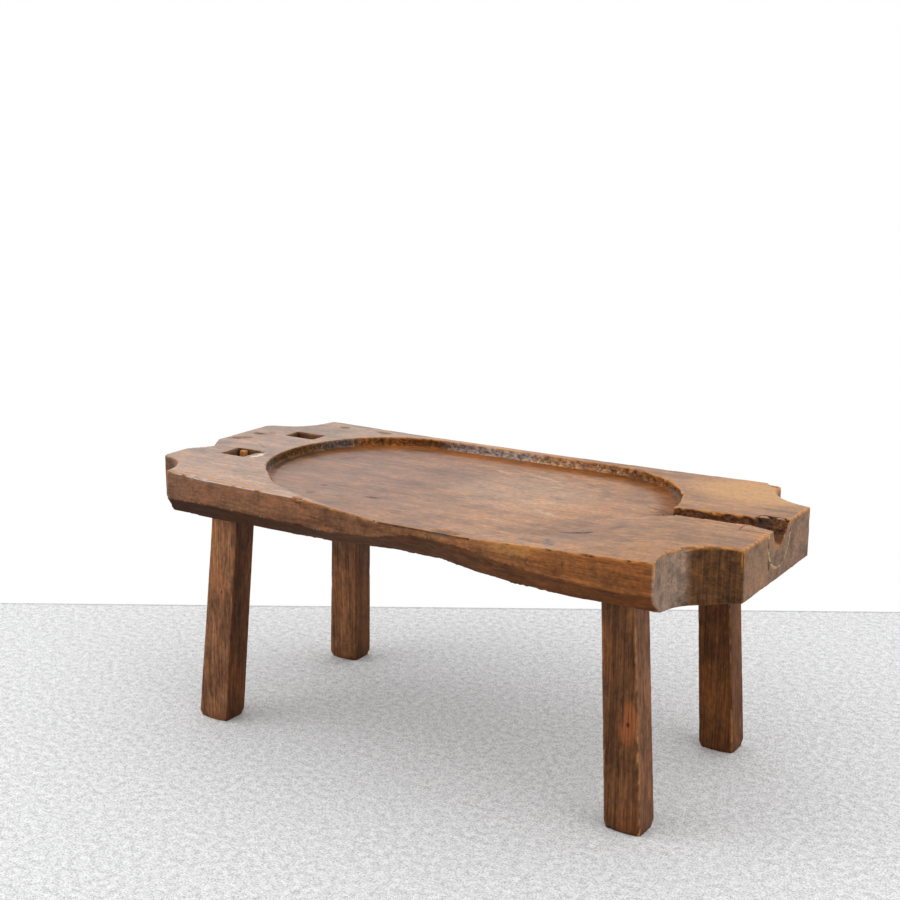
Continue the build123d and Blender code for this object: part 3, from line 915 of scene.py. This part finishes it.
def slabMaterial(name, seed):
    bench, where = newMaterial(name)
    bands, fibres, lines, pores = grain(bench, where, False, seed)
    level = bands * 0.28 + fibres * 0.34 + lines * 0.38
    colour, x, y, z = slabColour(bench, where)
    flat = bench.field("flatTop")
    wall = bench.field("trayWall")
    scoop = bench.field("scoop")
    blotch = bench.cloud(where, (6, 11, 11), (4, 4, seed), detail=4.0, rough=0.6)
    mottle = bench.cloud(where, (40, 52, 52), (1, 7, seed), detail=5.0, rough=0.72)
    speck = bench.cloud(where, (150, 210, 210), (6, 1, seed), detail=3.0, rough=0.7)
    streak = bench.cloud(where, (240, 240, 7), (2, 8, seed), detail=3.0, rough=0.6)
    tone = bench.ramp(level, [
        (0.40, (0.46, 0.42, 0.39)),
        (0.47, (0.86, 0.85, 0.84)),
        (0.53, (1.07, 1.07, 1.07)),
        (0.60, (1.42, 1.45, 1.48)),
    ])
    ends = bench.sum("MAXIMUM", bench.field("endGrain"), scoop)
    calm = bench.sum("MAXIMUM", 0.42 + flat * 0.08, ends * 0.7)
    tone = bench.mix(calm, tone, rgb(1.0, 1.0, 1.0))
    colour = bench.tint(colour, tone)
    warmth = bench.ramp(blotch * 0.45 + mottle * 0.55, [
        (0.40, (0.64, 0.61, 0.60)),
        (0.50, (1.0, 1.0, 1.0)),
        (0.60, (1.34, 1.26, 1.14)),
    ])
    colour = bench.tint(colour, warmth)
    rough = bench.ramp(speck, [
        (0.36, (0.40, 0.34, 0.30)),
        (0.50, (0.95, 0.95, 0.95)),
        (0.64, (1.80, 1.75, 1.65)),
    ])
    colour = bench.tint(colour, rough, wall * 0.75 + 0.25)
    cuts = bench.ramp(streak * 0.6 + mottle * 0.4, [
        (0.42, (0.62, 0.58, 0.55)),
        (0.58, (1.35, 1.33, 1.28)),
    ])
    cutShare = scoop * bench.slope(y, -0.175, -0.150, 0.25, 1.0)
    cutShare = bench.sum("MAXIMUM", cutShare, (1 - flat) * (1 - wall) * 0.08)
    colour = bench.tint(colour, cuts, cutShare)
    colour = bench.tint(colour, rgb(0.35, 0.28, 0.24), pores * (0.55 - calm * 0.35))
    flecks = bench.cloud(where, (38, 150, 150), (7, seed, 3), detail=3.0, rough=0.6)
    flecks = bench.step(flecks, 0.59, 0.66) * bench.step(blotch, 0.40, 0.56) * flat
    colour = bench.tint(colour, rgb(0.40, 0.34, 0.31), flecks * 0.6)
    # concave corners darkened: painted shade, partly grime
    colour = bench.mix(bench.field("dirt") * 0.8, colour, rgb(*slabFinish["soot"]))

    moved = bench.wander(where, 80, (0.026, 0.018, 0.014))
    broken = bench.slope(speck, 0.38, 0.56, 0.45, 1.0)
    for markTone, centre, size, turn, strength in slabMarks:
        mark = bench.spot(moved, centre, size, turn) * broken
        colour = bench.mix(mark * strength, colour, rgb(*markTones[markTone]))
    glue = glueLine(bench, x, y, z) * bench.step(mottle, 0.42, 0.50)
    colour = bench.mix(glue * 0.9, colour, rgb(*slabFinish["glue"]))
    ragged = bench.step(bench.cloud(where, (60, 110, 110), (2, 2, 2)), 0.36, 0.54)
    inner, outer, along = lipLines(bench, x, y, z)
    # the edge lines and the bevel's inner line painted orange: edge wear with a painted highlight
    worn = bench.sum("MAXIMUM", bench.field("wear") * (1 - along), inner)
    colour = bench.mix(worn * (0.25 + ragged * 0.65), colour, rgb(*slabFinish["worn"]))
    # the bevel's outer line painted whitish: rubbed edge with a painted highlight
    outer = outer * bench.step(mottle, 0.40, 0.50)
    colour = bench.mix(outer * 0.7, colour, rgb(*slabFinish["rubbed"]))

    roughness = bench.slope(level, 0.40, 0.60, 0.60, 0.50) + bench.field("underside") * 0.25
    height = level * 0.5 + speck * 0.2 + mottle * 0.2 - pores * 0.1
    sheen = flat * bench.slope(x, -0.43, 0.22, 0.75, 0.50) * bench.slope(mottle, 0.35, 0.6, 1.0, 0.7)
    sheen = sheen * (1 - bench.field("cove") * 0.75)
    return bench.finish(colour, roughness, height, 0.0020, gloss=0.15, coat=sheen)


hewnSlab = carveSlab()
dress(hewnSlab, "slab", slabMaterial("hewnSlabWood", 1.5))
print("slab carved:", len(hewnSlab.data.polygons), "faces")


# legs
legPiece = {
    "voxel": 0.0021,
    "rounds": 5,
    "deepest": 0.004,
    # noises: their scales along x, y and z, and what each adds to the leg's seed
    "noises": {
        "broad": ((14, 14, 7), 0),
        "furrows": ((170, 170, 9), 2),
        "nicks": ((60, 60, 34), 4),
        "small": ((90, 90, 90), 6),
    },
    "cuts": {"broad": 0.0004, "furrows": 0.0003},
    # heights over which the wear fades under the slab and at the foot
    "seat": (0.345, 0.352),
    "seatWear": (0.33, 0.35),
    "footWear": (0.001, 0.012),
    "footRound": (0.0, 0.014),
    "solePlane": 0.002,
    "worn": (0.50, 0.23, 0.080),
    # the colours of the near face and of the face towards the spout end, set apart to carry painted
    # light and shade (darker spout-side faces on the left legs, a lighter one on the front right
    # leg), and the knots
    "front_left": {"seed": 1.0, "near": (0.218, 0.098, 0.045), "right": (0.107, 0.037, 0.009),
                   "rub": 0.22, "knots": (((-0.366, -0.195, 0.2325), 0.020, 0.15),)},
    "rear_left": {"seed": 3.0, "near": (0.214, 0.096, 0.043), "right": (0.116, 0.041, 0.009),
                  "rub": 0.22, "knots": ()},
    "front_right": {"seed": 5.0, "near": (0.137, 0.057, 0.021), "right": (0.196, 0.083, 0.036),
                    "rub": 1.0, "knots": (((0.397, -0.195, 0.1710), 0.036, 0.75),)},
    "rear_right": {"seed": 7.0, "near": (0.145, 0.054, 0.014), "right": (0.136, 0.047, 0.008),
                   "rub": 0.60, "knots": ()},
}
legNames = ("front_left", "rear_left", "front_right", "rear_right")


def roundFoot(places, small):
    # the corners of the foot drawn in towards its middle, worn round and chipped
    middle = places[places[:, 2] < legPiece["solePlane"]].mean(axis=0)
    out = places[:, :2] - middle[:2]
    reach = np.maximum(np.abs(out).max(axis=1), 0.001)
    corner = (np.abs(out).min(axis=1) / reach) ** 3
    fall = (1 - blur(*legPiece["footRound"], places[:, 2])) ** 2
    share = fall * (0.02 + 0.09 * corner + 0.08 * corner * small)
    places[:, :2] -= out * share[:, None]
    return places


def carveLeg(leg):
    side, hand = leg.split("_")
    piece = copyNode(leg + "_leg", side + hand.capitalize() + "Leg", legPiece["voxel"])
    mesh = piece.data
    places, normals, edge = survey(mesh, legPiece["rounds"], legPiece["voxel"])
    height = places[:, 2]
    seed = legPiece[leg]["seed"]
    layers = {name: lumps(places, scale, seed + more)
              for name, (scale, more) in legPiece["noises"].items()}
    arris = blur(0.12, 0.45, edge)
    nicks = blur(0.60, 0.95, layers["nicks"])
    foot = 1 - blur(*legPiece["footWear"], height)
    depth = blend(layers, legPiece["cuts"])
    depth += arris * (0.0001 + 0.0009 * nicks)
    depth += foot * (0.0010 + 0.0016 * layers["small"]) * (0.4 + arris)
    level = np.abs(normals[:, 2])
    keep = (1 - blur(0.5, 0.9, level)) * (1 - blur(*legPiece["seat"], height))
    moved = places - normals * (np.clip(depth, 0, legPiece["deepest"]) * keep)[:, None]
    writePlaces(mesh, roundFoot(moved, layers["small"]), leg + "_leg")
    writeField(mesh, "wear", blur(0.08, 0.32, edge) * (1 - blur(*legPiece["seatWear"], height)))
    # faces towards the spout end, which get their own colour with painted light and shade
    writeField(mesh, "right", blur(0.5, 0.9, normals[:, 0]))
    return piece


def legMaterial(name, leg):
    bench, where = newMaterial(name + "Wood")
    seed = leg["seed"]
    bands, fibres, lines, pores = grain(bench, where, True, seed)
    level = bands * 0.24 + fibres * 0.36 + lines * 0.40
    # near and spout-side faces coloured apart: painted light and shade on the spout side
    colour = bench.mix(bench.field("right"), rgb(*leg["near"]), rgb(*leg["right"]))
    tone = bench.ramp(level, [
        (0.41, (0.54, 0.48, 0.44)),
        (0.47, (0.87, 0.84, 0.82)),
        (0.53, (1.08, 1.08, 1.08)),
        (0.59, (1.42, 1.42, 1.40)),
    ])
    colour = bench.tint(colour, tone)
    blotch = bench.cloud(where, (18, 18, 11), (4, 4, seed), detail=5.0, rough=0.7)
    warmth = bench.ramp(blotch, [(0.38, (0.64, 0.59, 0.55)), (0.5, (1, 1, 1)),
                                 (0.62, (1.32, 1.20, 1.08))])
    colour = bench.tint(colour, warmth)
    speck = bench.cloud(where, (170, 170, 80), (5, seed, 2), detail=3.0, rough=0.7)
    rough = bench.ramp(speck, [(0.38, (0.70, 0.66, 0.62)), (0.62, (1.30, 1.30, 1.28))])
    colour = bench.tint(colour, rough, 0.7)
    colour = bench.tint(colour, rgb(0.30, 0.24, 0.20), pores * 0.6)
    moved = bench.wander(where, 60, (0.030, 0.030, 0.040))
    for centre, size, glow in leg["knots"]:
        ring = bench.spot(moved, centre, (size, 0.03, size * 2.4)) * bench.step(level, 0.44, 0.52)
        core = bench.spot(where, centre, (size * 0.22, 0.03, size * 0.3))
        colour = bench.mix(ring * glow, colour, rgb(0.34, 0.095, 0.028))
        colour = bench.mix(core * 0.9, colour, rgb(0.030, 0.013, 0.008))
    z = bench.node("ShaderNodeSeparateXYZ", None, {0: where}, take=2)
    ragged = bench.step(bench.cloud(where, (70, 70, 45), (seed, 2, 2)), 0.40, 0.58)
    foot = 1 - bench.step(z, 0.0, 0.045)
    colour = bench.tint(colour, rgb(0.62, 0.55, 0.50), foot * 0.7)
    lower = bench.slope(z, 0.09, 0.16, 1.0, 0.65)
    worn = bench.field("wear") * ragged * lower * leg["rub"]
    colour = bench.mix(worn, colour, rgb(*legPiece["worn"]))
    roughness = bench.slope(level, 0.40, 0.60, 0.62, 0.50)
    return bench.finish(colour, roughness, level * 0.8 - pores * 0.2, 0.0018, gloss=0.15)


for leg in legNames:
    legObject = carveLeg(leg)
    dress(legObject, leg + "_leg", legMaterial(legObject.name, legPiece[leg]))
print("legs carved")


# spout insert, stub and wedges
smallPieces = {
    "insertVoxel": 0.0016,
    "stubVoxel": 0.0014,
    "stubColour": (0.46, 0.19, 0.052),
    "wedgeColour": (0.30, 0.17, 0.09),
    "bump": 0.0012,
    # where the insert's channel has crumbled, and how deep
    "crumble": {"noise": ((90, 110, 110), 3.3), "above": 0.4215, "far": (0.012, 0.020),
                "deep": 0.0042},
    # the stub's broken top: two noises and how deep they go
    "stubNoises": (((90, 90, 30), 5.5), ((260, 260, 60), 1.5)),
    "stubDeep": 0.005,
    "stubHigh": 0.43,
}


def plainWood(name, seed, colour):
    bench, where = newMaterial(name)
    bands, fibres, lines, pores = grain(bench, where, True, seed)
    level = bands * 0.3 + fibres * 0.3 + lines * 0.4
    tone = bench.ramp(level, [
        (0.42, (0.40, 0.34, 0.28)),
        (0.50, (1.0, 1.0, 1.0)),
        (0.58, (1.60, 1.60, 1.55)),
    ])
    mixed = bench.tint(rgb(*colour), tone)
    roughness = bench.slope(level, 0.35, 0.65, 0.62, 0.50)
    return bench.finish(mixed, roughness, level - pores * 0.2, smallPieces["bump"], gloss=0.15)


def carveInsert():
    piece = copyNode("spout_insert", "spoutInsert", smallPieces["insertVoxel"])
    mesh = piece.data
    places, normals, edge = survey(mesh, slabPiece["rounds"], smallPieces["insertVoxel"])
    flat, _, _, wall = slabZones(places, normals)
    crumble = smallPieces["crumble"]
    broken = blur(0.35, 0.8, lumps(places, *crumble["noise"])) * (places[:, 2] > crumble["above"])
    broken = broken * np.maximum(wall, blur(*crumble["far"], places[:, 1]) * flat)
    writePlaces(mesh, places - normals * (crumble["deep"] * broken)[:, None], "spout_insert")
    writeZones(mesh, edge, places, normals)
    return piece


def carveStub():
    piece = copyNode("mortise_stub", "oldStub", smallPieces["stubVoxel"])
    mesh = piece.data
    places = readVectors(mesh.vertices, "co")
    up = blur(0.5, 0.9, readVectors(mesh.vertex_normals, "vector")[:, 2])
    coarse, fine = (lumps(places, *noiseSet) for noiseSet in smallPieces["stubNoises"])
    broken = up * smallPieces["stubDeep"] * (coarse + 0.5 * fine)
    places[:, 2] -= broken * (places[:, 2] < smallPieces["stubHigh"])
    writePlaces(mesh, places, "mortise_stub")
    return piece


spoutInsert = carveInsert()
dress(spoutInsert, "spout_insert", slabMaterial("spoutInsertWood", 4.5))
oldStub = carveStub()
dress(oldStub, "mortise_stub", plainWood("stubWood", 13.0, smallPieces["stubColour"]))

wedgeWood = plainWood("wedgeWood", 17.0, smallPieces["wedgeColour"])
for leg in legNames:
    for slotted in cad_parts[leg + "_tenon_wedge"].material_slots:
        slotted.material = wedgeWood
print("insert, stub and wedges done")
